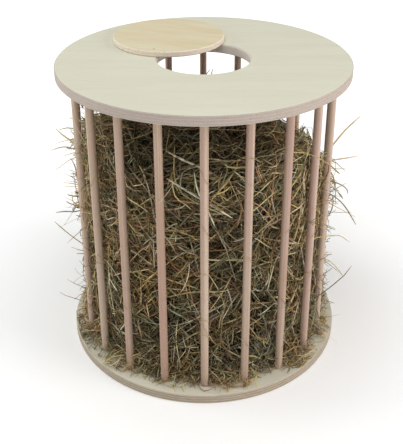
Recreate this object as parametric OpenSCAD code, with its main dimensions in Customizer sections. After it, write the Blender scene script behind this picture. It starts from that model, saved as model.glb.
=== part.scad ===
// Round hay rack for small livestock. Two plywood discs are held apart by a
// ring of beech dowels, which are glued into blind holes in both discs. Hay
// goes in through a round hole in the top disc, and a round lid closes it by
// swivelling on one screw. Millimetres, +Z up, origin under the base's centre.

/* [Discs] */
// Diameter of the base and of the top disc
disc_d = 300; // [260:10:360]
// Thickness of each disc
disc_t = 10; // [9:1:15]
// Height from the floor to the upper face of the top disc
rack_h = 318; // [200:1:450]
// Width of the sanded bevel on every disc edge
bevel = 0.8; // [0.4:0.1:1.5]

/* [Dowels] */
// Number of dowels round the rack
dowel_count = 20; // [16:1:24]
// Diameter of a dowel
dowel_d = 8; // [6:1:10]
// Distance from a dowel's axis to the edge of the disc
dowel_inset = 17; // [12:1:25]
// Depth of the glued socket at each end of a dowel
socket_depth = 6; // [4:0.5:7]
// Gap all round a dowel in its socket, filled by the glue
glue_gap = 0.05; // [0.02:0.01:0.1]

/* [Fill hole and lid] */
// Diameter of the hole that the hay goes in through
fill_hole_d = 96; // [80:1:110]
// Diameter of the lid
lid_d = 120; // [116:1:124]
// Thickness of the lid
lid_t = 6; // [5:0.5:8]
// Distance from the fill hole's centre to the lid's pivot
pivot_r = 52; // [52:0.5:57]
// Direction of the pivot from the fill hole's centre, in degrees from +X
pivot_direction = 168; // [0:0.5:359.5]
// How far the lid is swung open, in degrees
lid_open = 87; // [0:1:180]
// Gap between the lid and the top disc
lid_gap = 0.1; // [0.1:0.05:0.3]

/* [Pivot screw] */
// Diameter of the screw's plain shank
screw_d = 3; // [3:0.5:3.5]
// Diameter of the screw's countersunk head
screw_head_d = 5.6; // [5.2:0.1:6]
// Diameter of the thread's core
screw_core_d = 2; // [1.8:0.1:2.2]
// Distance between the thread's turns
thread_pitch = 1.3; // [1.2:0.1:1.5]
// Running gap round the shank and under the head
screw_gap = 0.08; // [0.05:0.01:0.1]

/* [Hidden] */
$fn = 96;

disc_r = disc_d / 2;
dowel_circle_r = disc_r - dowel_inset;
dowel_step = 360 / dowel_count;
first_dowel = -90;
dowel_bottom = disc_t - socket_depth;
dowel_len = rack_h - disc_t + socket_depth - dowel_bottom;
dowel_end_bevel = 0.6;

top_z = rack_h - disc_t;
lid_z = rack_h + lid_gap;
pivot_x = pivot_r * cos(pivot_direction);
pivot_y = pivot_r * sin(pivot_direction);

// The head sits just inside the top disc's lower face, and the point ends
// just under the lid's upper face.
head_recess = 0.3;
head_t = (screw_head_d - screw_d) / 2;
drive_slot = [4.2, 0.9, 1];
thread_depth = (screw_d - screw_core_d) / 2;
thread_start = lid_z - top_z - head_recess + 0.2;
point_len = 2;
screw_len = lid_z + lid_t - top_z - head_recess - 0.2;
thread_turns = floor((screw_len - point_len - thread_start) / thread_pitch);

function two_digits(n) = n < 10 ? str("0", n) : str(n);
function dowel_name(n) = str("dowel_", two_digits(n));

// A round plate with both arrises bevelled, its lower face at z = 0
module bevelled_plate(d, t, edge) {
    rotate_extrude()
        polygon([
            [0, 0], [d / 2 - edge, 0], [d / 2, edge],
            [d / 2, t - edge], [d / 2 - edge, t], [0, t]
        ]);
}

// Places its children at each dowel's axis
module at_dowel(n) {
    rotate([0, 0, first_dowel + (n - 1) * dowel_step])
        translate([dowel_circle_r, 0, 0])
            children();
}

// The blind holes for all the dowels, cut up from the height z
module dowel_sockets(z) {
    for (n = [1 : dowel_count])
        at_dowel(n)
            translate([0, 0, z])
                cylinder(d = dowel_d + 2 * glue_gap, h = socket_depth + 1);
}

// A screw's outline without its thread, grown by gap on every side
module screw_body(gap) {
    cylinder(d1 = screw_head_d + 2 * gap, d2 = screw_d + 2 * gap, h = head_t);
    cylinder(d = screw_d + 2 * gap, h = thread_start);
}

// Lower disc, which the rack stands on, with a blind hole for each dowel
module base_disc() {
    color("#d6cfb4")
        difference() {
            bevelled_plate(disc_d, disc_t, bevel);
            dowel_sockets(dowel_bottom);
        }
}

// Upper disc, with the fill hole, the dowel sockets and the pivot's hole
module top_disc() {
    color("#dad9c6")
        difference() {
            translate([0, 0, top_z])
                bevelled_plate(disc_d, disc_t, bevel);
            dowel_sockets(top_z - 1);
            translate([0, 0, top_z - 1])
                cylinder(d = fill_hole_d, h = disc_t + 2);
            translate([0, 0, top_z - bevel])
                cylinder(d1 = fill_hole_d + 4 * bevel, d2 = fill_hole_d, h = 2 * bevel);
            translate([0, 0, rack_h - bevel])
                cylinder(d1 = fill_hole_d, d2 = fill_hole_d + 4 * bevel, h = 2 * bevel);
            translate([pivot_x, pivot_y, top_z + head_recess]) {
                screw_body(screw_gap);
                cylinder(d = screw_d + 2 * screw_gap, h = disc_t);
            }
            translate([pivot_x, pivot_y, top_z - 1])
                cylinder(d = screw_head_d + 2 * screw_gap, h = 1 + head_recess);
        }
}

// Round lid over the fill hole, shown swung open about its pivot
module lid() {
    color("#d8c9a6")
        translate([pivot_x, pivot_y, lid_z])
            rotate([0, 0, lid_open])
                difference() {
                    translate([-pivot_x, -pivot_y, 0])
                        bevelled_plate(lid_d, lid_t, bevel);
                    translate([0, 0, -1])
                        cylinder(d = screw_core_d, h = lid_t + 1 - point_len);
                    translate([0, 0, lid_t - point_len])
                        cylinder(d1 = screw_core_d, d2 = 1, h = point_len + 0.01);
                }
}

// Wood screw driven up through the top disc into the lid, which turns with it
module lid_pivot_screw() {
    color("#b9b6ae")
        translate([pivot_x, pivot_y, top_z + head_recess])
            difference() {
                union() {
                    screw_body(0);
                    cylinder(d = screw_core_d, h = screw_len - point_len);
                    translate([0, 0, screw_len - point_len])
                        cylinder(d1 = screw_core_d, d2 = 0.5, h = point_len);
                    for (turn = [0 : thread_turns - 1])
                        translate([0, 0, thread_start + turn * thread_pitch])
                            thread_turn();
                }
                cube(drive_slot + [0, 0, drive_slot[2]], center = true);
                rotate([0, 0, 90])
                    cube(drive_slot + [0, 0, drive_slot[2]], center = true);
            }
}

// One turn of the screw's thread, drawn as a sharp ring
module thread_turn() {
    cylinder(d1 = screw_core_d, d2 = screw_d, h = thread_depth);
    translate([0, 0, thread_depth])
        cylinder(d1 = screw_d, d2 = screw_core_d, h = thread_depth);
}

// One upright dowel, with both ends bevelled to start in their sockets
module dowel(n) {
    color("#c8a893")
        at_dowel(n)
            translate([0, 0, dowel_bottom])
                bevelled_plate(dowel_d, dowel_len, dowel_end_bevel);
}

base_disc();
top_disc();
lid();
lid_pivot_screw();
for (n = [1 : dowel_count])
    dowel(n);
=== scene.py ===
import math

import bpy
import numpy as np
from mathutils import Euler, Matrix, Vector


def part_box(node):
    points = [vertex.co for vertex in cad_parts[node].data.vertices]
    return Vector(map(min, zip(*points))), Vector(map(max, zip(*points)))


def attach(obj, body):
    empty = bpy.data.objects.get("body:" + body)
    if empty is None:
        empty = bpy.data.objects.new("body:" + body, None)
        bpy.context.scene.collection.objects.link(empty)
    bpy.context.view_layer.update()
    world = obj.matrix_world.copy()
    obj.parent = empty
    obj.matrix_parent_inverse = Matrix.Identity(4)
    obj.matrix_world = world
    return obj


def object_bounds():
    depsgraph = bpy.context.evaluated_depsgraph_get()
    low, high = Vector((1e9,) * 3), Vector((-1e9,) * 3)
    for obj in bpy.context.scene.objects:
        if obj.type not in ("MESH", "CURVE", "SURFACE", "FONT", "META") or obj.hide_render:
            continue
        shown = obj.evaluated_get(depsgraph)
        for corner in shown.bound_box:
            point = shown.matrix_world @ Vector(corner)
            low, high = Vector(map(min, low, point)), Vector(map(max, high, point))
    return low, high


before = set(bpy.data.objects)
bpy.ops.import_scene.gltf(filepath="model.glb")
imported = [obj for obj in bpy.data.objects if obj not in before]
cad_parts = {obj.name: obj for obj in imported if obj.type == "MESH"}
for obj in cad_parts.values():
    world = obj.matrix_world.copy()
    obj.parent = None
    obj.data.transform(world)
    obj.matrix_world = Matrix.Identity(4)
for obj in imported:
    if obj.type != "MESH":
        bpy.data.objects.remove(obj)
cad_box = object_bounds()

MM = 0.001

# --- Camera -------------------------------------------------------------------------------
# Stands in front of the rack at a person's height over a table and looks down on it. The
# lens is shifted down so that the uprights keep the lean that the eye sees.

camera_data = bpy.data.cameras.new("camera")
camera_data.lens = 62.65
camera_data.shift_y = -0.162
camera = bpy.data.objects.new("camera", camera_data)
camera.location = (-2.4 * MM, -746.4 * MM, 574.0 * MM)
look_down = 0.4492
tip = -0.0035
aim = Euler((math.pi / 2 - look_down, 0, 0)).to_matrix() @ Matrix.Rotation(tip, 3, "Z")
camera.rotation_euler = aim.to_euler()
bpy.context.collection.objects.link(camera)
bpy.context.scene.camera = camera

# --- Floor and light ----------------------------------------------------------------------
# A plain pale floor that runs out of sight and glows more the further out it is, a painted
# light since the floor is no lamp, a bright even sky, and three wide soft lamps: one over the
# rack and a stronger one on the right.


def add_node(tree, kind, inputs=None, **settings):
    """Adds a shader node; an input is given a value, or a socket to link it to."""
    node = tree.nodes.new("ShaderNode" + kind)
    for name, value in settings.items():
        setattr(node, name, value)
    for name, value in (inputs or {}).items():
        if isinstance(value, bpy.types.NodeSocket):
            tree.links.new(value, node.inputs[name])
        else:
            node.inputs[name].default_value = value
    return node


def new_material(name, roughness, specular=0.5):
    """A material with one Principled shader; returns it, its tree and the shader."""
    material = bpy.data.materials.new(name)
    material.use_nodes = True
    tree = material.node_tree
    shader = tree.nodes["Principled BSDF"]
    shader.inputs["Roughness"].default_value = roughness
    shader.inputs["Specular IOR Level"].default_value = specular
    return material, tree, shader


def srgb(red, green, blue):
    """A colour given as 0-255 display values, as the linear values that shaders take."""
    shown = np.array([red, green, blue]) / 255
    linear = np.where(shown <= 0.04045, shown / 12.92, ((shown + 0.055) / 1.055) ** 2.4)
    return (*linear.tolist(), 1.0)


floor_half = 6.0
floor_mesh = bpy.data.meshes.new("floor")
floor_mesh.from_pydata(
    [(x * floor_half, y * floor_half, 0) for x, y in ((-1, -1), (1, -1), (1, 1), (-1, 1))],
    [], [(0, 1, 2, 3)])
floor = bpy.data.objects.new("floor", floor_mesh)
floor_material, floor_tree, floor_shader = new_material("floor", 0.9, 0.2)
floor_shader.inputs["Base Color"].default_value = (0.90, 0.90, 0.90, 1)
floor_shader.inputs["Emission Color"].default_value = (1, 1, 1, 1)
floor_place = add_node(floor_tree, "TexCoord").outputs["Object"]
floor_distance = add_node(floor_tree, "VectorMath", {0: floor_place}, operation="LENGTH")
# Painted light: the floor's own glow rises from 0.10 to 0.5 with the distance from the middle.
floor_glow = add_node(floor_tree, "MapRange", {
    "Value": floor_distance.outputs["Value"], "From Min": 0.20, "From Max": 0.9,
    "To Min": 0.10, "To Max": 0.5})
floor_tree.links.new(floor_glow.outputs[0], floor_shader.inputs["Emission Strength"])
floor_mesh.materials.append(floor_material)
bpy.context.collection.objects.link(floor)

world = bpy.data.worlds.new("sky")
world.use_nodes = True
world.node_tree.nodes["Background"].inputs["Color"].default_value = (0.98, 0.99, 1.0, 1)
world.node_tree.nodes["Background"].inputs["Strength"].default_value = 0.50
bpy.context.scene.world = world
bpy.context.scene.view_settings.view_transform = "Standard"


def soft_lamp(name, place, power, size, colour=(1, 1, 1)):
    """A square lamp at place that faces the middle of the rack."""
    data = bpy.data.lights.new(name, "AREA")
    data.energy = power
    data.size = size
    data.color = colour
    lamp = bpy.data.objects.new(name, data)
    lamp.location = place
    middle = (cad_box[0] + cad_box[1]) / 2
    lamp.rotation_euler = (lamp.location - middle).to_track_quat("Z", "Y").to_euler()
    bpy.context.collection.objects.link(lamp)


soft_lamp("lamp_over", (-0.3, -0.4, 1.6), 10, 1.4)
soft_lamp("lamp_right", (1.5, -0.6, 0.8), 15, 0.9, (1.0, 0.95, 0.90))
soft_lamp("lamp_left", (-1.5, 0.3, 0.7), 8, 0.8, (0.95, 1.0, 0.94))

# --- Base and top disc --------------------------------------------------------------------
# Two round plates of birch plywood, seven veneers thick, sawn out, sanded and left bare.
# The veneers' grain runs left to right in every second ply and front to back in the others.
# The fill hole's wall is painted much paler than the rims: a painted light.


def ramp(tree, factor, stops, interpolation="LINEAR"):
    """A colour ramp over factor, with stops as (position, colour) pairs."""
    node = add_node(tree, "ValToRGB", {"Fac": factor})
    node.color_ramp.interpolation = interpolation
    elements = node.color_ramp.elements
    while len(elements) < len(stops):
        elements.new(1.0)
    for element, (position, colour) in zip(elements, stops):
        element.position = position
        element.color = colour
    return node.outputs["Color"]


def blend(tree, factor, first, second, way="MIX"):
    """A colour mix, with each of factor, first and second a value or a socket."""
    node = add_node(tree, "Mix", data_type="RGBA", blend_type=way, clamp_result=True)
    for socket, value in ((node.inputs[0], factor), (node.inputs[6], first), (node.inputs[7], second)):
        if isinstance(value, bpy.types.NodeSocket):
            tree.links.new(value, socket)
        else:
            socket.default_value = value
    return node.outputs[2]


def stretched(tree, place, scale, detail=3.0, rough=0.55, warp=0.0, turn=0.0):
    """Noise over place, which is turned about Z and then scaled by three factors: low
    factors draw the noise out along that axis. Returns values from 0 to 1."""
    if turn:
        place = add_node(tree, "VectorRotate", {"Vector": place, "Angle": turn},
                         rotation_type="Z_AXIS").outputs[0]
    mapping = add_node(tree, "Mapping", {"Vector": place, "Scale": scale})
    noise = add_node(tree, "TexNoise", {
        "Vector": mapping.outputs[0], "Scale": 1.0, "Detail": detail, "Roughness": rough,
        "Distortion": warp})
    return noise.outputs["Fac"]


def between(tree, value, low, high, to_low=0.0, to_high=1.0):
    """Maps value from the stretch low-high onto to_low-to_high, and clamps it."""
    node = add_node(tree, "MapRange", {
        "Value": value, "From Min": low, "From Max": high, "To Min": to_low, "To Max": to_high})
    return node.outputs[0]


def plywood(name, low_z, thickness, plies, face, figure, edge_light, edge_dark, glue, turn=0.0):
    """Plywood between low_z and low_z + thickness. face and figure are the outer veneer's
    ground and grain colours; the edge shows the plies in turn, light where the grain runs
    along and dark where it ends, with a broken glue line between each two. turn is the
    direction of the outer veneer's grain."""
    material, tree, shader = new_material(name, 0.62, 0.3)
    place = add_node(tree, "TexCoord").outputs["Object"]
    broad = stretched(tree, place, (9, 60, 9), 4, 0.6, 0.8, turn)
    fine = stretched(tree, place, (70, 1400, 70), 3, 0.6, 0.0, turn)
    cloud = stretched(tree, place, (14, 18, 14), 2, 0.5, 0.0, turn)
    pores = stretched(tree, place, (260, 3600, 260), 1, 0.5, 0.0, turn)

    ground = blend(tree, between(tree, broad, 0.35, 0.7), face, figure)
    ground = blend(tree, between(tree, fine, 0.3, 0.75, 0.0, 0.25), ground, figure)
    ground = blend(tree, between(tree, cloud, 0.4, 0.7, 0.0, 0.25), ground, face)
    ground = blend(tree, between(tree, pores, 0.66, 0.74, 0.0, 0.35), ground,
                   (figure[0] * 0.72, figure[1] * 0.68, figure[2] * 0.6, 1))

    height = add_node(tree, "SeparateXYZ", {"Vector": place}).outputs["Z"]
    waver = stretched(tree, place, (45, 45, 160), 2)
    waver = between(tree, waver, 0.2, 0.8, -0.12 * MM, 0.12 * MM)
    level = add_node(tree, "Math", {0: height, 1: waver}, operation="ADD").outputs[0]
    level = between(tree, level, low_z, low_z + thickness)
    ply = thickness / plies
    line = 0.10 * MM / thickness
    stops = []
    for n in range(plies):
        colour = edge_dark if n % 2 else edge_light
        start, end = n * ply / thickness, (n + 1) * ply / thickness
        stops.append((start + line, colour))
        stops.append((end - line, colour))
        if n < plies - 1:
            stops.append((end, glue))
    layers = ramp(tree, level, stops)
    plain = blend(tree, 0.5, edge_light, edge_dark)
    broken = stretched(tree, place, (70, 70, 300), 3, 0.7)
    layers = blend(tree, between(tree, broken, 0.34, 0.52), plain, layers)
    along = stretched(tree, place, (40, 900, 1500), 3, 0.6, 0.0, turn)
    across = stretched(tree, place, (900, 40, 1500), 3, 0.6, 0.0, turn)
    fibre = blend(tree, 0.5, along, across)
    layers = blend(tree, between(tree, fibre, 0.35, 0.62, 0.0, 0.28), layers,
                   (glue[0] * 0.8, glue[1] * 0.8, glue[2] * 0.8, 1))

    specks = stretched(tree, place, (420, 420, 1100), 1)
    layers = blend(tree, between(tree, specks, 0.67, 0.73, 0.0, 0.6), layers,
                   (glue[0] * 0.6, glue[1] * 0.6, glue[2] * 0.6, 1))

    skin = 0.06 * MM
    above = between(tree, height, low_z + thickness - 2 * skin, low_z + thickness - skin)
    below = between(tree, height, low_z + skin, low_z + 2 * skin, 1.0, 0.0)
    on_face = add_node(tree, "Math", {0: above, 1: below}, operation="MAXIMUM").outputs[0]
    tree.links.new(blend(tree, on_face, layers, ground), shader.inputs["Base Color"])

    relief = blend(tree, on_face, fibre, fine)
    bump = add_node(tree, "Bump", {"Height": relief, "Strength": 0.25, "Distance": 0.12 * MM})
    tree.links.new(bump.outputs[0], shader.inputs["Normal"])
    rough = between(tree, fine, 0.3, 0.7, 0.56, 0.70)
    tree.links.new(rough, shader.inputs["Roughness"])
    return material


def give(node, material):
    """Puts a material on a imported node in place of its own."""
    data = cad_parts[node].data
    data.materials.clear()
    data.materials.append(material)


base_low, base_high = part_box("base_disc")
top_low, top_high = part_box("top_disc")
lid_low, lid_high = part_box("lid")

base_wood = plywood("base_plywood", base_low[2], base_high[2] - base_low[2], 7,
                    srgb(212, 209, 193), srgb(204, 198, 178), srgb(192, 180, 160),
                    srgb(164, 148, 130), srgb(118, 98, 80))
top_wood = plywood("top_plywood", top_low[2], top_high[2] - top_low[2], 7,
                   srgb(213, 212, 194), srgb(208, 205, 184), srgb(185, 175, 164),
                   srgb(174, 161, 152), srgb(150, 122, 113))
hole_radius = 48 * MM
top_tree = top_wood.node_tree
top_shader = top_tree.nodes["Principled BSDF"]
top_place = add_node(top_tree, "TexCoord").outputs["Object"]
flat_place = add_node(top_tree, "VectorMath", {0: top_place, 1: (1, 1, 0)}, operation="MULTIPLY")
from_middle = add_node(top_tree, "VectorMath", {0: flat_place.outputs[0]}, operation="LENGTH")
# Painted light: inside the fill hole the colour is blended three quarters of the way to near white.
in_hole = between(top_tree, from_middle.outputs["Value"], hole_radius + 0.2 * MM,
                  hole_radius + 0.6 * MM, 0.75, 0)
hole_wall_painted_light = blend(top_tree, in_hole, top_shader.inputs["Base Color"].links[0].from_socket,
             srgb(250, 240, 226))
top_tree.links.new(hole_wall_painted_light, top_shader.inputs["Base Color"])
give("base_disc", base_wood)
give("top_disc", top_wood)

# --- Lid ----------------------------------------------------------------------------------
# A small round of thinner plywood, five veneers, from a warmer sheet with a plain grain. A
# dark speck shows where the point of the screw has come up.

lid_wood = plywood("lid_plywood", lid_low[2], lid_high[2] - lid_low[2], 5,
                   srgb(216, 208, 180), srgb(207, 190, 152), srgb(234, 224, 203),
                   srgb(240, 230, 216), srgb(200, 160, 148), turn=math.radians(17))
lid_tree = lid_wood.node_tree
lid_shader = lid_tree.nodes["Principled BSDF"]
lid_colour = lid_shader.inputs["Base Color"].links[0].from_socket
screw_low, screw_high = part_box("lid_pivot_screw")
pivot = (screw_low + screw_high) / 2
lid_place = add_node(lid_tree, "TexCoord").outputs["Object"]
from_pivot = add_node(lid_tree, "VectorMath", {
    0: lid_place, 1: (pivot[0], pivot[1], lid_high[2])}, operation="DISTANCE").outputs["Value"]
speck = between(lid_tree, from_pivot, 0.7 * MM, 1.5 * MM, 0.7, 0)
lid_tree.links.new(blend(lid_tree, speck, lid_colour, srgb(120, 84, 56)), lid_shader.inputs["Base Color"])
give("lid", lid_wood)

# --- Pivot screw --------------------------------------------------------------------------
# Zinc plated wood screw under the top disc: its point just shows in the lid.

zinc, zinc_tree, zinc_shader = new_material("zinc_steel", 0.35)
zinc_shader.inputs["Metallic"].default_value = 1.0
zinc_place = add_node(zinc_tree, "TexCoord").outputs["Object"]
zinc_cloud = stretched(zinc_tree, zinc_place, (700, 700, 700), 3)
zinc_colour = ramp(zinc_tree, zinc_cloud, [(0.3, srgb(172, 170, 162)), (0.7, srgb(206, 204, 198))])
zinc_tree.links.new(zinc_colour, zinc_shader.inputs["Base Color"])
give("lid_pivot_screw", zinc)

# --- Dowels -------------------------------------------------------------------------------
# Turned beech rod, bare, pinkish brown, with long soft streaks and short dark flecks.


def beech(name):
    """Beech with its grain along Z. Each dowel falls in its own part of the pattern. The dowels
    right of the middle are painted a little darker, a painted shade, and the ones near +X and -X
    paler, a painted light."""
    material, tree, shader = new_material(name, 0.5, 0.35)
    place = add_node(tree, "TexCoord").outputs["Object"]
    tone = stretched(tree, place, (11, 11, 1.2), 1)
    streaks = stretched(tree, place, (380, 380, 2.5), 3, 0.55)
    stain = stretched(tree, place, (60, 60, 9), 2)
    flecks = stretched(tree, place, (1900, 1900, 210), 1)
    pores = stretched(tree, place, (3800, 3800, 60), 2)
    colour = ramp(tree, tone, [
        (0.36, srgb(170, 144, 122)), (0.50, srgb(183, 163, 143)), (0.64, srgb(178, 147, 134))])
    colour = blend(tree, between(tree, streaks, 0.46, 0.62, 0, 0.7), colour, srgb(176, 138, 126))
    colour = blend(tree, between(tree, streaks, 0.46, 0.34, 0, 0.5), colour, srgb(205, 188, 168))
    colour = blend(tree, between(tree, stain, 0.58, 0.74, 0, 0.5), colour, srgb(158, 124, 98))
    colour = blend(tree, between(tree, flecks, 0.62, 0.70, 0, 0.45), colour, srgb(150, 112, 90))
    # Painted shade right of the middle and painted light at the far left and right, by X.
    side = add_node(tree, "SeparateXYZ", {0: place}).outputs["X"]
    colour = blend(tree, between(tree, side, 0.005, 0.04, 0, 0.22), colour, srgb(150, 122, 108))
    colour = blend(tree, between(tree, side, 0.095, 0.125, 0, 0.45), colour, srgb(205, 188, 168))
    colour = blend(tree, between(tree, side, -0.09, -0.125, 0, 0.40), colour, srgb(205, 188, 168))
    tree.links.new(colour, shader.inputs["Base Color"])
    bump = add_node(tree, "Bump", {"Height": pores, "Strength": 0.3, "Distance": 0.08 * MM})
    tree.links.new(bump.outputs[0], shader.inputs["Normal"])
    tree.links.new(between(tree, pores, 0.3, 0.7, 0.42, 0.60), shader.inputs["Roughness"])
    return material


dowel_wood = beech("beech_dowel")
dowel_names = [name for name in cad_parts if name.startswith("dowel_")]
for name in dowel_names:
    give(name, dowel_wood)

# --- Hay: its room and its outline --------------------------------------------------------
# Meadow hay, filled in by hand through the top. It stands heaped up to the top disc at the
# front, sinks towards the back and the right, and is loose along its upper edge.

dowel_low, dowel_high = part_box("dowel_01")
dowel_radius = float(dowel_high[0] - dowel_low[0]) / 2
dowel_circle = -float(dowel_low[1] + dowel_high[1]) / 2
hay_floor = float(base_high[2])
hay_ceiling = float(top_low[2])
wall = dowel_circle - dowel_radius - 2.0 * MM


def rise(value, low, high):
    """0 below low, 1 above high, and a smooth S between them."""
    t = np.clip((value - low) / (high - low), 0, 1)
    return t * t * (3 - 2 * t)


def unit(vectors):
    """The vectors, each made one long."""
    return vectors / np.maximum(np.linalg.norm(vectors, axis=-1, keepdims=True), 1e-9)


def lumps(points, seed, size):
    """Smooth random values over points, mostly from -1 to 1: the sum of 40 plane waves that
    are each about size long."""
    rng = np.random.default_rng(seed)
    waves = unit(rng.normal(size=(40, 3))) * rng.uniform(0.6, 1.8, (40, 1)) * 2 * np.pi / size
    phase = rng.uniform(0, 2 * np.pi, 40)
    return np.sin(points @ waves.T + phase).sum(-1) / math.sqrt(40)


def round_rack(angle):
    """Unit vectors straight out from the rack's middle line at the given angles, and level
    ones along the ring of dowels, anticlockwise seen from above."""
    cos, sin, level = np.cos(angle), np.sin(angle), 0 * angle
    return np.stack([cos, sin, level], -1), np.stack([-sin, cos, level], -1)


def at_radius(radius, angle, z):
    """Points given by their distance from the rack's middle line, angle and height."""
    return np.stack([radius * np.cos(angle), radius * np.sin(angle), z], -1)


def heap(x, y):
    """Height of the hay's upper side over (x, y)."""
    top = hay_ceiling - 2 * MM
    back = 0.36 * np.maximum(y + 0.045, 0)
    right = 0.046 * rise(x, 0.052, 0.084) + 0.038 * rise(x, 0.094, 0.118)
    right = right + 0.060 * rise(x, 0.040, 0.110) * rise(y, -0.060, 0.050)
    left = 0.024 * rise(-x, 0.070, 0.130) + 0.095 * rise(-x, 0.055, 0.115) * rise(y, -0.070, 0.050)
    return top - back - right - left


def loose(x, y):
    """How far the firm hay lies below the upper side: most at the left and right."""
    return 10 * MM + 0.026 * rise(-x, 0.060, 0.120) + 0.014 * rise(x, 0.060, 0.125)


def packed(points):
    """The share of strands that are left at each point: all in the firm hay, few above it."""
    x, y, z = points[..., 0], points[..., 1], points[..., 2]
    edge = heap(x, y)
    return 0.03 + 0.97 * rise(edge - z, 0, loose(x, y) * 1.4) ** 1.5


def under_top(z):
    """0 over most of the height, rising to 1 right under the top disc."""
    return rise(z, 0.72 * hay_ceiling, 0.97 * hay_ceiling)


hollows = ((-1.41, 0.184, 0.028, 0.026), (-1.38, 0.064, 0.030, 0.018), (-1.83, 0.060, 0.018, 0.008),
           (-2.02, 0.262, 0.030, 0.014), (-0.62, 0.110, 0.018, 0.008))


def beside(angle):
    """1 at the left and the right of the rack, where the hay is pushed out most, and 0 over
    the front and the back."""
    return rise(np.abs(np.cos(angle)), 0.80, 0.97)


def recess(angle, z):
    """How far behind the wall the hay's outer side lies: deep under the top disc and at the
    hollows, each given by angle, height, size and depth; proud of the wall at the mounds."""
    place = at_radius(wall, angle, z)
    uneven = lumps(place, 11, 85 * MM) + 0.5 * lumps(place, 12, 30 * MM)
    front = 1 - 0.8 * rise(np.abs(wall * np.cos(angle)), 0.060, 0.095)
    deep = 1 * MM + 14 * MM * under_top(z) * front + 5 * MM * uneven - 5 * MM * beside(angle)
    for at, height, size, most in hollows:
        away = 2 * wall * np.sin((angle - at) / 2)
        deep = deep + most * np.exp(-(away ** 2 + (z - height) ** 2) / (2 * size ** 2))
    return deep


def hold_in(path):
    """Moves whole strands, shape (strands, rings, 3), back behind the dowels, down under the
    heap's upper side and above the base, and then presses in what still stands out. Between
    two dowels the hay may come as far out as their fronts."""
    middle = path.mean(axis=1, keepdims=True)
    inward = unit(middle * np.array([1, 1, 0]))

    def over_wall(points):
        radius = np.hypot(points[..., 0], points[..., 1])
        angle = np.arctan2(points[..., 1], points[..., 0])
        in_gap = 0.5 - 0.5 * np.cos(len(dowel_names) * (angle + math.pi / 2))
        return radius, wall + (9 + 8 * beside(angle)) * MM * in_gap ** (2 - beside(angle))

    radius, limit = over_wall(path)
    excess = np.maximum(radius - limit, 0).max(axis=1)[:, None, None]
    held = path - inward * excess
    x, y = held[..., 0], held[..., 1]
    stand = 3 * MM + 12 * MM * rise(np.abs(x), 0.070, 0.110)
    excess = np.maximum(held[..., 2] - np.minimum(heap(x, y) + stand, hay_ceiling - 1 * MM), 0)
    held[..., 2] -= excess.max(axis=1)[:, None]
    short = np.maximum(hay_floor + 0.6 * MM - held[..., 2], 0)
    held[..., 2] += np.minimum(short.max(axis=1)[:, None], 30 * MM)
    held[..., 2] = np.clip(held[..., 2], hay_floor + 0.6 * MM, hay_ceiling - 1 * MM)
    radius, limit = over_wall(held)
    held[..., :2] *= np.where(radius > limit, limit / np.maximum(radius, 1e-6), 1.0)[..., None]
    return held


# --- Hay: strands -------------------------------------------------------------------------
# Stems are thin closed tubes of three sides, blades are the same tubes pressed flat. A piece
# holds thousands of them, so each has only a few dozen faces.

hay_colours = np.array([
    srgb(164, 144, 98)[:3], srgb(144, 114, 84)[:3], srgb(212, 192, 146)[:3],
    srgb(236, 224, 192)[:3], srgb(136, 132, 108)[:3], srgb(116, 104, 74)[:3],
    srgb(162, 122, 92)[:3]])
hay_shares = np.array([0.24, 0.20, 0.13, 0.035, 0.155, 0.20, 0.04])


def strand_paths(rng, direction, length, bow, kink, curl, rings):
    """Points along each strand about its own middle, shape (strands, rings, 3): a straight
    line of the given length, bowed sideways by bow times a parabola, bent at one place by
    kink times the length beyond it, and wound round its own line by a helix of radius curl."""
    count = len(length)
    s = np.linspace(-0.5, 0.5, rings)[None, :, None]
    side = unit(np.cross(direction, rng.normal(size=(count, 3))))
    other = np.cross(direction, side)
    phase = rng.uniform(0, 2 * np.pi, (count, 1, 1))
    turns = rng.uniform(0.7, 1.6, (count, 1, 1)) * 2 * np.pi
    bend_at = rng.uniform(-0.3, 0.3, (count, 1, 1))
    span = length[:, None, None]
    path = direction[:, None] * span * s
    path = path + side[:, None] * (bow[:, None, None] * span * (0.25 - s * s) * 4)
    path = path + other[:, None] * (0.35 * bow[:, None, None] * span * np.sin(2 * np.pi * s + phase))
    path = path + other[:, None] * (kink[:, None, None] * span * np.maximum(s - bend_at, 0))
    helix = curl[:, None, None]
    path = path + side[:, None] * helix * np.cos(turns * s + phase)
    return path + other[:, None] * helix * np.sin(turns * s + phase)


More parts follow.
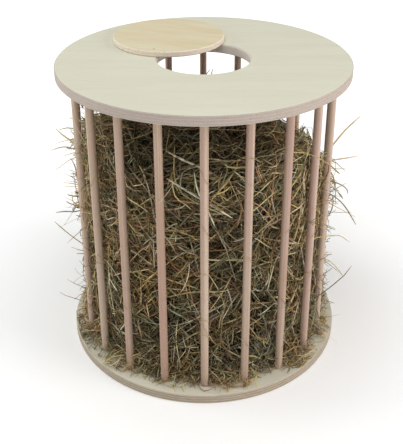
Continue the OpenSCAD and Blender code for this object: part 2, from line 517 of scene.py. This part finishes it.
def strand_mesh(name, path, width, thick, tint, roll):
    """Closed tubes round the paths. The cross-section is a triangle of the given width and
    thickness, turned by roll about the path, and it narrows to 40% at both ends. The ends
    are closed by one triangle each. Each strand has its own tint and its own cell of the
    square that its finish is baked to."""
    count, rings, _ = path.shape
    forward = unit(np.gradient(path, axis=1))
    level = np.where(np.abs(forward[..., 2:3]) > 0.9, [[[1.0, 0, 0]]], [[[0, 0, 1.0]]])
    side = unit(np.cross(forward, level))
    up = np.cross(side, forward)
    turn = roll[:, None] + np.linspace(0, 1, rings)[None] * (roll[:, None] - math.pi) * 0.3
    cos, sin = np.cos(turn)[..., None], np.sin(turn)[..., None]
    side, up = side * cos + up * sin, up * cos - side * sin
    taper = 1 - 0.6 * np.abs(np.linspace(-1, 1, rings)) ** 4
    around = np.array([0, 2, 4]) * math.pi / 3
    wide = (width[:, None] * taper / 2)[:, :, None, None]
    deep = (thick[:, None] * taper / 2)[:, :, None, None]
    points = (path[:, :, None] + side[:, :, None] * wide * np.cos(around)[None, None, :, None]
              + up[:, :, None] * deep * np.sin(around)[None, None, :, None])

    index = np.arange(count * rings * 3).reshape(count, rings, 3)
    after = np.roll(index, -1, axis=2)
    quads = np.stack([index[:, :-1], index[:, 1:], after[:, 1:], after[:, :-1]], -1)
    caps = np.stack([index[:, 0], index[:, -1, ::-1]], axis=1)
    loops = np.concatenate([quads.ravel(), caps.ravel()])
    quad_count, cap_count = quads.size // 4, caps.size // 3

    across = math.ceil(math.sqrt(count))
    cell = np.stack([np.arange(count) % across, np.arange(count) // across], -1)
    u = (np.arange(3)[None, :, None] + np.array([0, 0, 1, 1])) / 3 + np.zeros((rings - 1, 1, 1))
    v = (np.arange(rings - 1)[:, None, None] + np.array([0, 1, 1, 0])) / (rings - 1) + np.zeros((1, 3, 1))
    quad_uv = np.stack([u, v], -1)
    cap_uv = np.array([[[0.1, 0], [0.5, 0], [0.9, 0]], [[0.9, 1], [0.5, 1], [0.1, 1]]])
    margin = 0.07
    own = [(cell[:, None] + margin + (1 - 2 * margin) * part.reshape(1, -1, 2)) / across
           for part in (quad_uv, cap_uv)]
    places = np.concatenate([part.reshape(-1, 2) for part in own])

    mesh = bpy.data.meshes.new(name)
    mesh.vertices.add(points.size // 3)
    mesh.vertices.foreach_set("co", points.astype(np.float32).ravel())
    mesh.loops.add(len(loops))
    mesh.loops.foreach_set("vertex_index", loops.astype(np.int32))
    mesh.polygons.add(quad_count + cap_count)
    starts = np.concatenate([np.arange(quad_count) * 4, quads.size + np.arange(cap_count) * 3])
    mesh.polygons.foreach_set("loop_start", starts.astype(np.int32))
    mesh.update(calc_edges=True)
    mesh.polygons.foreach_set("use_smooth", np.ones(len(mesh.polygons), dtype=bool))
    mesh.uv_layers.new(name="OFBake").uv.foreach_set("vector", places.astype(np.float32).ravel())
    colour = mesh.attributes.new("hay_colour", "FLOAT_COLOR", "POINT")
    rgba = np.ones((count, rings, 3, 4), dtype=np.float32)
    rgba[..., :3] = tint[:, None, None, :]
    colour.data.foreach_set("color", rgba.ravel())
    return mesh


def hay_material(name):
    """Dry grass: the strand's own colour, streaked and blotched, duller where it is rough."""
    material, tree, shader = new_material(name, 0.6, 0.12)
    own = add_node(tree, "Attribute", attribute_name="hay_colour").outputs["Color"]
    place = add_node(tree, "TexCoord").outputs["Object"]
    blotch = stretched(tree, place, (180, 180, 180), 3)
    speck = stretched(tree, place, (1500, 1500, 1500), 2)
    colour = blend(tree, between(tree, blotch, 0.4, 0.7, 0, 0.5), own, srgb(150, 124, 96), "MULTIPLY")
    colour = blend(tree, between(tree, speck, 0.58, 0.75, 0, 0.3), colour, srgb(206, 190, 146))
    tree.links.new(colour, shader.inputs["Base Color"])
    tree.links.new(between(tree, blotch, 0.3, 0.7, 0.45, 0.75), shader.inputs["Roughness"])
    return material


hay_look = hay_material("hay")


def tints_for(rng, centre, shares=hay_shares, spread=0.30, inner=30 * MM):
    """A hay colour for each strand, by the given shares. It is lightened or darkened at
    random, browner or greener and lighter or darker by the tuft that it lies in, and lighter
    over the middle of its height. It is painted darker the deeper it lies behind the wall, a
    painted shade, and under the top disc it is painted darker over the front and back and
    lighter at the left and right, painted shade and light."""
    count = len(centre)
    tint = hay_colours[rng.choice(len(hay_colours), count, p=shares / shares.sum())]
    brown = lumps(centre, 21, 75 * MM)[:, None] * np.array([0.08, 0.0, -0.10])
    brown = brown + np.array([-0.01, 0.03, 0.05])
    tuft = 0.24 * lumps(centre, 22, 34 * MM)[:, None]
    depth = wall - np.hypot(centre[:, 0], centre[:, 1])
    x, z = centre[:, :1], centre[:, 2:3]
    # Painted shade the deeper behind the wall; under the top disc, painted shade over the front and back
    # and painted light at the left and right.
    painted_shade_and_light = -np.clip(depth / inner, -0.3, 1.8)[:, None]
    painted_shade_and_light = painted_shade_and_light - under_top(z) * (0.55 - 1.15 * rise(np.abs(x), 0.060, 0.100))
    # Lighter over the middle of the height.
    lighter_mid_height = 0.10 + 0.24 * rise(z, 0.11, 0.17) * (1 - rise(z, 0.24, 0.28))
    own = rng.normal(0, spread, (count, 1)) + rng.normal(0, 0.04, (count, 3))
    tint = tint * np.exp(brown + tuft + painted_shade_and_light + lighter_mid_height + own)
    return np.maximum(tint / np.maximum(tint.max(axis=1, keepdims=True) / 0.72, 1), 0.006)


def hay_piece(name, path, width, thick, tint, rng):
    """Makes the strands one piece that goes with the rack."""
    mesh = strand_mesh(name, path, width, thick, tint, rng.uniform(0, 2 * np.pi, len(path)))
    mesh.materials.append(hay_look)
    piece = bpy.data.objects.new(name, mesh)
    bpy.context.collection.objects.link(piece)
    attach(piece, "rack")


def random_lengths(rng, count, middle, spread, low, high):
    """Lengths or widths spread evenly in ratio about the middle one."""
    return np.clip(middle * np.exp(rng.normal(0, spread, count)), low, high)


def some(rng, count, share, size):
    """Zero for most strands and a random value of about size for the given share of them."""
    return np.where(rng.uniform(0, 1, count) < share, rng.normal(0, size, count), 0.0)


def on_side(rng, angle, depth, z, level, poke):
    """Centres at a depth behind the hay's outer side, and directions: at random, but drawn
    out along the wall by level and out or in by poke."""
    radius = wall - recess(angle, z) - depth
    centre = at_radius(radius, angle, z)
    out, along = round_rack(angle)
    lean = 0.7 * lumps(centre, 31, 60 * MM)
    across = rng.normal(0, 1, len(z)) * level
    upright = rng.normal(0, 1, len(z)) + lean
    direction = (along * across[:, None] + np.array([0, 0, 1.0]) * upright[:, None]
                 + out * rng.normal(0, poke, (len(z), 1)))
    return centre, unit(direction)


# --- Hay: the firm heap -------------------------------------------------------------------
# The imported middle of the hay, too dense to see into: one lumpy closed body. Its colour is
# painted dark brown to near black, a painted shade, as hardly any light gets in.


def firm_heap():
    """A closed surface of revolution in three stretches, floor, side and top, pushed in and
    out by lumps. Its side lies behind the tangle, and its upper side follows heap(x, y),
    lowered by loose(x, y)."""
    around, up = 180, 90
    angle = np.linspace(0, 2 * np.pi, around, endpoint=False)[None]
    t = np.linspace(0, 3, up)[1:-1, None]
    share = np.where(t < 1, np.sqrt(np.clip(t, 0, 1)), np.where(t < 2, 1.0, 1 - np.clip(t - 2, 0, 1)))
    low = hay_floor + 1 * MM
    side_z = low + (hay_ceiling - low) * np.clip(t - 1, 0, 1) + 0 * angle
    radius = wall - 22 * MM - recess(angle + 0 * t, side_z)
    x, y = radius * share * np.cos(angle), radius * share * np.sin(angle)
    high = heap(x, y) - loose(x, y) - 6 * MM
    z = np.where(t < 1, low, np.where(t < 2, low + (high - low) * (t - 1), high))
    points = np.stack([x, y, z], -1)
    bulge = 4 * MM * lumps(points, 3, 38 * MM) + 1.6 * MM * lumps(points, 4, 11 * MM)
    points[..., :2] *= (1 + bulge / radius * (t > 0.9))[..., None]
    points[..., 2] += bulge * (t > 1.9) - 2 * MM * (t > 1.9)
    points[..., 2] = np.clip(points[..., 2], low, hay_ceiling - 2 * MM)
    rows = up - 2
    grid = points.reshape(-1, 3)
    poles = np.array([[0, 0, low], [0, 0, float(points[-1, :, 2].mean())]])
    verts = np.concatenate([grid, poles])
    index = np.arange(rows * around).reshape(rows, around)
    after = np.roll(index, -1, axis=1)
    quads = np.stack([index[:-1], after[:-1], after[1:], index[1:]], -1).reshape(-1, 4)
    first = np.stack([after[0], index[0], np.full(around, rows * around)], -1)
    last = np.stack([index[-1], after[-1], np.full(around, rows * around + 1)], -1)
    mesh = bpy.data.meshes.new("hay_heap")
    mesh.from_pydata(verts.tolist(), [], quads.tolist() + first.tolist() + last.tolist())
    mesh.polygons.foreach_set("use_smooth", np.ones(len(mesh.polygons), dtype=bool))
    return mesh


heap_look, heap_tree, heap_shader = new_material("hay_heap", 0.9, 0.1)
heap_place = add_node(heap_tree, "TexCoord").outputs["Object"]
wisp_one = stretched(heap_tree, heap_place, (900, 900, 70), 3, 0.6, 1.5)
wisp_two = stretched(heap_tree, heap_place, (90, 90, 900), 3, 0.6, 1.5)
wisps = blend(heap_tree, 0.5, wisp_one, wisp_two)
# Painted shade: the heap's colour runs only from near black to dark olive.
heap_painted_shade_colour = ramp(heap_tree, wisps, [
    (0.40, srgb(20, 17, 12)), (0.52, srgb(40, 34, 23)), (0.66, srgb(76, 66, 44))])
heap_tree.links.new(heap_painted_shade_colour, heap_shader.inputs["Base Color"])
heap_bump = add_node(heap_tree, "Bump", {"Height": wisps, "Strength": 0.8, "Distance": 1.0 * MM})
heap_tree.links.new(heap_bump.outputs[0], heap_shader.inputs["Normal"])
heap_mesh = firm_heap()
heap_mesh.materials.append(heap_look)
heap_piece = bpy.data.objects.new("hay_heap", heap_mesh)
bpy.context.collection.objects.link(heap_piece)
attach(heap_piece, "rack")

# --- Hay: the tangle against the dowels ---------------------------------------------------
# The outer layers that lean on the dowels, in four quarters seen from above. The strands lie
# every way, and they thin out in the loose hay along the upper edge.

tangle_depth = 26 * MM
quarters = (("front_right", -0.5), ("back_right", 0.0), ("back_left", 0.5), ("front_left", 1.0))
for number, (quarter, start) in enumerate(quarters):
    rng = np.random.default_rng(100 + number)
    count = 4700
    angle = (start + rng.uniform(0, 0.5, count)) * math.pi
    depth = tangle_depth * rng.uniform(0, 1, count)
    z = hay_floor + 2 * MM + (hay_ceiling - hay_floor - 2 * MM) * rng.uniform(0, 1, count)
    kept = rng.uniform(0, 1, count) < packed(at_radius(wall, angle, z))
    angle, depth, z = angle[kept], depth[kept], z[kept]
    count = len(z)
    centre, direction = on_side(rng, angle, depth, z, 1.2 + 1.0 * rise(z, 0.13, 0.24), 0.45)
    length = random_lengths(rng, count, 41 * MM, 0.5, 10 * MM, 110 * MM)
    width = random_lengths(rng, count, 1.05 * MM, 0.45, 0.4 * MM, 2.8 * MM)
    path = strand_paths(rng, direction, length, rng.normal(0, 0.16, count),
                        some(rng, count, 0.25, 0.7), np.abs(rng.normal(0, 0.6 * MM, count)), 7)
    path = hold_in(centre[:, None] + path)
    hay_piece("hay_tangle_" + quarter, path, width, width * 0.8, tints_for(rng, centre, spread=0.36), rng)

# --- Hay: the upper side ------------------------------------------------------------------
# Strands that lie over the heap as they fell, seen through the fill hole and over the sides.
# There are more over each patch where it is steeper.

rng = np.random.default_rng(200)
count = 10000
radius = (wall - 2 * MM) * rng.uniform(0, 1, count) ** 0.45
angle = rng.uniform(0, 2 * np.pi, count)
x, y = radius * np.cos(angle), radius * np.sin(angle)
steep = np.hypot(heap(x + 1 * MM, y) - heap(x - 1 * MM, y), heap(x, y + 1 * MM) - heap(x, y - 1 * MM))
kept = rng.uniform(0, 1, count) < (0.4 + steep / (2 * MM)) / 1.6
x, y = x[kept], y[kept]
count = len(x)
z = heap(x, y) - loose(x, y) * rng.uniform(0.0, 1.0, count)
centre = np.stack([x, y, z], -1)
heading = rng.uniform(0, 2 * np.pi, count)
direction = unit(np.stack([np.cos(heading), np.sin(heading), rng.normal(0, 0.3, count)], -1))
length = random_lengths(rng, count, 34 * MM, 0.5, 10 * MM, 90 * MM)
width = random_lengths(rng, count, 0.9 * MM, 0.38, 0.4 * MM, 2.0 * MM)
path = strand_paths(rng, direction, length, rng.normal(0, 0.12, count),
                    some(rng, count, 0.25, 0.7), np.abs(rng.normal(0, 0.8 * MM, count)), 5)
hay_piece("hay_upper_side", hold_in(centre[:, None] + path), width, width * 0.8,
          tints_for(rng, centre, inner=130 * MM), rng)

# --- Hay: curls ---------------------------------------------------------------------------
# Fine dry leaf tips that have rolled up into arcs, hooks and loops.

rng = np.random.default_rng(300)
count = 2700
angle = rng.uniform(0, 2 * np.pi, count)
z = hay_floor + 3 * MM + (hay_ceiling - hay_floor - 3 * MM) * rng.uniform(0, 1, count)
kept = rng.uniform(0, 1, count) < packed(at_radius(wall, angle, z))
angle, z = angle[kept], z[kept]
count = len(z)
centre, direction = on_side(rng, angle, 14 * MM * rng.uniform(0, 1, count) ** 1.3, z, 1.0, 1.0)
length = random_lengths(rng, count, 11 * MM, 0.5, 4 * MM, 34 * MM)
path = strand_paths(rng, direction, length, rng.normal(0, 0.4, count), np.zeros(count),
                    random_lengths(rng, count, 3.2 * MM, 0.5, 1 * MM, 8 * MM), 9)
width = random_lengths(rng, count, 0.6 * MM, 0.25, 0.35 * MM, 1.1 * MM)
hay_piece("hay_curls", hold_in(centre[:, None] + path), width, width * 0.7,
          tints_for(rng, centre), rng)

# --- Hay: loops ---------------------------------------------------------------------------
# A few long leaf tips wound into whole rings, one or two centimetres across.

rng = np.random.default_rng(320)
count = 110
angle = rng.uniform(0, 2 * np.pi, count)
z = hay_floor + 14 * MM + (heap(0, -wall) - hay_floor - 60 * MM) * rng.uniform(0, 1, count)
centre, direction = on_side(rng, angle, rng.uniform(-3, 5, count) * MM, z, 1.0, 2.5)
length = random_lengths(rng, count, 15 * MM, 0.4, 6 * MM, 30 * MM)
path = strand_paths(rng, direction, length, rng.normal(0, 0.3, count), np.zeros(count),
                    random_lengths(rng, count, 7 * MM, 0.3, 4 * MM, 11 * MM), 25)
width = random_lengths(rng, count, 0.75 * MM, 0.25, 0.5 * MM, 1.2 * MM)
hay_piece("hay_loops", hold_in(centre[:, None] + path), width, width * 0.7, tints_for(rng, centre), rng)

# --- Hay: straws --------------------------------------------------------------------------
# Long pale stalks, up to two millimetres thick. They stay straight or snap into a sharp bend,
# and lie across the rest at the outside.

rng = np.random.default_rng(350)
count = 1150
angle = rng.uniform(0, 2 * np.pi, count)
z = hay_floor + 8 * MM + (heap(0, -wall) - hay_floor - 40 * MM) * rng.uniform(0, 1, count) ** 1.3
centre, direction = on_side(rng, angle, rng.uniform(-6, 4, count) * MM, z, 1.0, 0.12)
length = random_lengths(rng, count, 44 * MM, 0.45, 16 * MM, 110 * MM)
path = strand_paths(rng, direction, length, rng.normal(0, 0.05, count),
                    some(rng, count, 0.35, 0.9), np.zeros(count), 9)
width = random_lengths(rng, count, 1.5 * MM, 0.25, 0.9 * MM, 2.6 * MM)
straw_shares = np.array([0.16, 0.08, 0.42, 0.26, 0.05, 0.0, 0.03])
hay_piece("hay_straws", hold_in(centre[:, None] + path), width, width * 0.9,
          tints_for(rng, centre, straw_shares, 0.20, 60 * MM), rng)

# --- Hay: blades --------------------------------------------------------------------------
# Flat grey-green leaves, two to four millimetres wide, here and there among the stems.

rng = np.random.default_rng(400)
count = 1400
angle = rng.uniform(0, 2 * np.pi, count)
z = hay_floor + 4 * MM + (heap(0, -wall) - hay_floor - 20 * MM) * rng.uniform(0, 1, count) ** 1.3
centre, direction = on_side(rng, angle, -3 * MM + 15 * MM * rng.uniform(0, 1, count), z, 1.0, 0.3)
length = random_lengths(rng, count, 28 * MM, 0.4, 10 * MM, 64 * MM)
path = strand_paths(rng, direction, length, rng.normal(0, 0.18, count),
                    some(rng, count, 0.3, 0.6), 0.3 * MM * np.ones(count), 7)
width = random_lengths(rng, count, 2.5 * MM, 0.3, 1.5 * MM, 4.6 * MM)
blade_shares = np.array([0.24, 0.08, 0.10, 0.02, 0.46, 0.10, 0.0])
hay_piece("hay_blades", hold_in(centre[:, None] + path), width, 0.35 * MM + 0 * width,
          tints_for(rng, centre, blade_shares), rng)

# --- Hay: stray ends ----------------------------------------------------------------------
# Strands that stick out through the gaps, most of them at the left and the right, and a few
# that lie across the front of a dowel.

rng = np.random.default_rng(500)
count = 520
gap = 2 * math.pi / len(dowel_names)
first_gap = -math.pi / 2 + gap / 2
stray_limit = 167 * MM
tuft_angles = np.radians([176, 188, 181, 194, 177, 202, -4, -14, 4, -10, -5, -22, 9, -31])
tuft_heights = np.array([262, 238, 158, 178, 66, 40, 214, 196, 152, 136, 78, 50, 236, 172]) * MM


def stray_places(rng, count, tufted):
    """Angles and heights of stray ends. A share of them, tufted, is gathered at the tufts,
    and the rest is anywhere, but most of it at the left and right. Each is in a gap."""
    near = rng.uniform(0, 1, count) < tufted
    tuft = rng.integers(0, len(tuft_angles), count)
    anywhere = np.where(rng.uniform(0, 1, count) < 0.55, 0.0, math.pi) + rng.normal(0, 0.85, count)
    angle = np.where(near, tuft_angles[tuft] + rng.normal(0, 0.14, count), anywhere)
    angle = first_gap + gap * np.round((angle - first_gap) / gap) + rng.normal(0, 0.035, count)
    low, high = 0.02 * hay_ceiling, 0.88 * hay_ceiling
    z = np.where(near, tuft_heights[tuft] + rng.normal(0, 15 * MM, count),
                 hay_floor + low + (high - low) * rng.uniform(0, 1, count))
    return angle, np.minimum(z, heap(wall * np.cos(angle), wall * np.sin(angle)) + 2 * MM)


angle, z = stray_places(rng, count, 0.6)
out, along = round_rack(angle)
direction = unit(out + along * rng.normal(0, 0.75, (count, 1))
                 + np.array([0, 0, 1.0]) * rng.normal(-0.1, 0.9, (count, 1)))
stalk = rng.uniform(0, 1, count) < 0.09
length = np.where(stalk, rng.uniform(55 * MM, 100 * MM, count),
                  random_lengths(rng, count, 34 * MM, 0.35, 14 * MM, 70 * MM))
reach = np.where(stalk, rng.uniform(16 * MM, 42 * MM, count),
                 np.minimum(rng.exponential(11 * MM, count) + 2 * MM, 38 * MM))
reach = np.minimum(reach, 0.65 * length)
start = at_radius(wall, angle, z)
centre = start + direction * (reach - length / 2)[:, None]
path = centre[:, None] + strand_paths(rng, direction, length, rng.normal(0, 0.22, count),
                                      some(rng, count, 0.4, 0.8), 0.3 * MM * np.ones(count), 8)


def within(path, most):
    """Draws points that are further than most from the rack's middle line back to it, and
    keeps them off both discs and, under the fill hole, off the lid."""
    far = np.hypot(path[..., 0], path[..., 1])
    held = path.copy()
    held[..., :2] *= np.where(far > most, most / np.maximum(far, 1e-6), 1.0)[..., None]
    high = np.where(far < hole_radius - 6 * MM, hay_ceiling + 7 * MM, hay_ceiling - 2 * MM)
    held[..., 2] = np.clip(held[..., 2], hay_floor + 1 * MM, high)
    return held


width = random_lengths(rng, count, 0.95 * MM, 0.35, 0.5 * MM, 2.0 * MM)
tint = np.where(stalk[:, None], tints_for(rng, start, straw_shares, 0.16), tints_for(rng, start))
hay_piece("hay_stray_ends", within(path, stray_limit), width, width * 0.7, tint, rng)

# --- Hay: wisps ---------------------------------------------------------------------------
# Hair-thin ends that cling to the dowels. Each runs over the outer side of one dowel and
# goes back into the hay on both sides of it.

rng = np.random.default_rng(520)
count = 66
at = -math.pi / 2 + gap * rng.integers(0, len(dowel_names), count)
t = np.linspace(-1, 1, 15)[None]
sideways = rng.uniform(9, 15, (count, 1)) * MM * t + rng.normal(0, 3 * MM, (count, 1))
clear = dowel_circle + (dowel_radius + 0.7 * MM) * np.sqrt(np.maximum(1 - (sideways / (9 * MM)) ** 2, 0))
radius = np.where(np.abs(sideways) < 9 * MM, clear, dowel_circle)
radius = radius - 0.5 * np.maximum(np.abs(sideways) - 9 * MM, 0)
z = rng.uniform(hay_floor + 12 * MM, heap(wall * np.cos(at), wall * np.sin(at)) - 30 * MM)[:, None]
z = z + rng.normal(0, 9 * MM, (count, 1)) * t + rng.normal(0, 7 * MM, (count, 1)) * t * t
z = z + rng.normal(0, 2 * MM, (count, 1)) * np.sin(5 * t + rng.uniform(0, 6, (count, 1)))
z = np.clip(z, hay_floor + 2 * MM, hay_ceiling - 2 * MM)
turn = sideways / radius
path = at_radius(radius, at[:, None] + turn, z)
width = random_lengths(rng, count, 0.5 * MM, 0.25, 0.35 * MM, 0.9 * MM)
wisp_shares = np.array([0.20, 0.45, 0.0, 0.0, 0.05, 0.30, 0.0])
hay_piece("hay_wisps", path, width, width, tints_for(rng, path[:, 7], wisp_shares), rng)

# --- Hay: stalks --------------------------------------------------------------------------
# The longest stalks, pushed out through the gaps as the rack was filled. Each runs from a
# place inside to its tip.

stalk_ends = np.array([
    [(104, -38, 214), (163, -28, 221)], [(110, -40, 212), (157, -34, 268)],
    [(96, -66, 138), (161, -42, 135)], [(128, -44, 186), (160, -38, 146)],
    [(126, -40, 196), (153, -34, 176)], [(120, -36, 100), (152, -40, 78)],
    [(-118, -36, 220), (-158, -26, 228)], [(-116, -44, 116), (-160, -34, 146)],
    [(-120, -40, 226), (-150, -30, 254)], [(-122, -44, 168), (-157, -38, 160)],
    [(4, -20, 272), (7, -24, 315)], [(14, -16, 270), (9, -22, 314)]]) * MM
rng = np.random.default_rng(530)
count = len(stalk_ends)
span = stalk_ends[:, 1] - stalk_ends[:, 0]
length = np.linalg.norm(span, axis=1)
path = stalk_ends.mean(axis=1)[:, None] + strand_paths(
    rng, unit(span), length, rng.normal(0, 0.12, count), some(rng, count, 0.3, 0.5),
    0.4 * MM * np.ones(count), 12)
width = random_lengths(rng, count, 1.5 * MM, 0.2, 1.1 * MM, 2.2 * MM)
stalk_shares = np.array([0.35, 0.15, 0.40, 0.0, 0.0, 0.10, 0.0])
hay_piece("hay_stalks", within(path, stray_limit), width, width * 0.9,
          tints_for(rng, stalk_ends[:, 1], stalk_shares, 0.16), rng)

# --- Hay: sprigs --------------------------------------------------------------------------
# Flowering tops with short side twigs, which catch between the dowels at the left and right.

rng = np.random.default_rng(550)
sprigs, twigs = 90, 8
angle, z = stray_places(rng, sprigs, 0.7)
start = at_radius(wall, angle, z)
out, _ = round_rack(angle)
direction = unit(out + 0.45 * rng.normal(size=(sprigs, 3)))
length = random_lengths(rng, sprigs, 34 * MM, 0.3, 20 * MM, 55 * MM)
reach = np.minimum(random_lengths(rng, sprigs, 15 * MM, 0.4, 6 * MM, 30 * MM), 0.65 * length)
centre = start + direction * (reach - length / 2)[:, None]
stems = centre[:, None] + strand_paths(rng, direction, length, rng.normal(0, 0.12, sprigs),
                                       np.zeros(sprigs), np.zeros(sprigs), 8)
share = rng.uniform(0.35, 0.98, (sprigs, twigs))
ring = (share * 7).astype(int)
foot = np.take_along_axis(stems, ring[..., None], axis=1).reshape(-1, 3)
twig_direction = unit(np.repeat(direction, twigs, axis=0) + 0.75 * rng.normal(size=(sprigs * twigs, 3)))
twig_length = random_lengths(rng, sprigs * twigs, 6 * MM, 0.4, 2.5 * MM, 13 * MM)
twig_paths = strand_paths(rng, twig_direction, twig_length, rng.normal(0, 0.2, sprigs * twigs),
                          np.zeros(sprigs * twigs), np.zeros(sprigs * twigs), 8)
twig_paths = twig_paths + (foot + twig_direction * twig_length[:, None] / 2)[:, None]
path = np.concatenate([stems, twig_paths])
sprig_tint = tints_for(rng, start, np.array([0.4, 0.2, 0.05, 0.0, 0.15, 0.2, 0.0]))
tint = np.concatenate([sprig_tint, np.repeat(sprig_tint, twigs, axis=0) * 0.9])
width = np.concatenate([0.9 * MM * np.ones(sprigs),
                        random_lengths(rng, sprigs * twigs, 0.9 * MM, 0.3, 0.5 * MM, 1.6 * MM)])
hay_piece("hay_sprigs", within(path, stray_limit), width, width * 0.7, tint, rng)

# --- Hay: crumbs on the base --------------------------------------------------------------
# Short broken bits that have dropped round the dowels' feet: heaped between the dowels, and
# scattered over the base up to its rim.

rng = np.random.default_rng(600)
count = 5200
angle = rng.uniform(0, 2 * np.pi, count)
place = at_radius(wall, angle, 0 * angle)
spill = (5.5 + 3 * beside(angle)) * MM * np.exp(0.45 * lumps(place, 41, 60 * MM))
radius = wall - 6 * MM + np.abs(rng.normal(0, 1, count)) * spill * 1.5
base_radius = float(base_high[0])
radius = np.minimum(radius, base_radius - 3 * MM)
slope_top = np.maximum(0, 1 - (radius - wall + 2 * MM) / (2.4 * spill)) * 20 * MM
height = slope_top * rng.uniform(0, 1, count)
centre = at_radius(radius, angle, hay_floor + 0.7 * MM + height)
heading = rng.uniform(0, 2 * np.pi, count)
slope = rng.normal(0, 0.7, count) * (height > 2 * MM)
direction = unit(np.stack([np.cos(heading), np.sin(heading), slope], -1))
length = random_lengths(rng, count, 12 * MM, 0.55, 2.5 * MM, 38 * MM)
path = centre[:, None] + strand_paths(rng, direction, length, rng.normal(0, 0.2, count),
                                      some(rng, count, 0.2, 0.7), 0.1 * MM * np.ones(count), 5)
width = random_lengths(rng, count, 0.9 * MM, 0.4, 0.4 * MM, 2.0 * MM)
lift = np.maximum(hay_floor + 0.5 * MM - path[..., 2], 0).max(axis=1)
path[..., 2] += np.minimum(lift, 4 * MM)[:, None]
path = within(path, base_radius - 1 * MM)
crumb_shares = np.array([0.34, 0.26, 0.16, 0.03, 0.05, 0.12, 0.04])
hay_piece("hay_crumbs", path, width, width * 0.7, tints_for(rng, centre, crumb_shares), rng)
